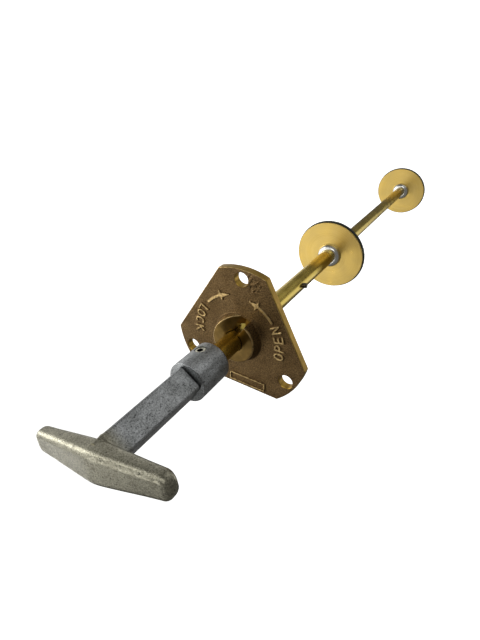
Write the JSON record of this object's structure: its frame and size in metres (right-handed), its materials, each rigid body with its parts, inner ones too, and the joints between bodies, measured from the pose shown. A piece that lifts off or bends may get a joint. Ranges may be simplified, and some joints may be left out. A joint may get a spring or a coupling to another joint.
{
  "type": "push-pull valve spindle with cover and sealing discs",
  "caption": "Push-pull seacock valve gear: T-handle on a brass rod through a bronze cover with a locking cam, carrying sealing discs.",
  "frame": {"origin": "on the rod's axis at the back face of the cover, which beds on the valve body", "axes": "+Z along the rod towards the T-handle, -Z into the valve body towards the discs, +Y through one cover bolt hole"},
  "size_m": [0.0928, 0.0833, 0.5799],
  "materials": {
    "cast_bronze": "sand-cast bronze with brown patina, machined rim",
    "cast_grey_metal": "sand-cast, tumbled, finely pitted",
    "plated_screw_steel": "bright zinc plated",
    "drawn_brass": "drawn bar, polished",
    "dark_pin_steel": "dark stainless pin",
    "bright_steel": "polished stainless",
    "turned_brass": "satin, fine lathe-turned rings",
    "brass_nut": "milled and tumbled",
    "black_rubber": "moulded nitrile, matt"
  },
  "bodies": {
    "cover": {"cover_flange": "cast_bronze"},
    "discs": {"front_disc": "turned_brass", "front_seal": "black_rubber", "front_backing_washer": "turned_brass", "rear_disc": "turned_brass", "rear_seal": "black_rubber", "rear_backing_washer": "turned_brass"},
    "spindle": {"spindle_rod": "drawn_brass", "t_handle": "cast_grey_metal", "handle_set_screw": "plated_screw_steel", "cross_pin": "dark_pin_steel", "front_retaining_collar": "bright_steel", "front_lock_washer": "bright_steel", "front_nut": "brass_nut", "rear_retaining_collar": "bright_steel", "rear_lock_washer": "bright_steel", "rear_nut": "brass_nut"}
  },
  "joints": [
    {"name": "plunger_slide", "type": "slide", "parent": "cover", "child": "discs", "axis": [0, 0, 1], "range_m": [-0.022, 0.078]},
    {"name": "handle_twist", "type": "hinge", "parent": "discs", "child": "spindle", "pos_m": [0, 0, 0], "axis": [0, 0, 1], "continuous": true}
  ]
}
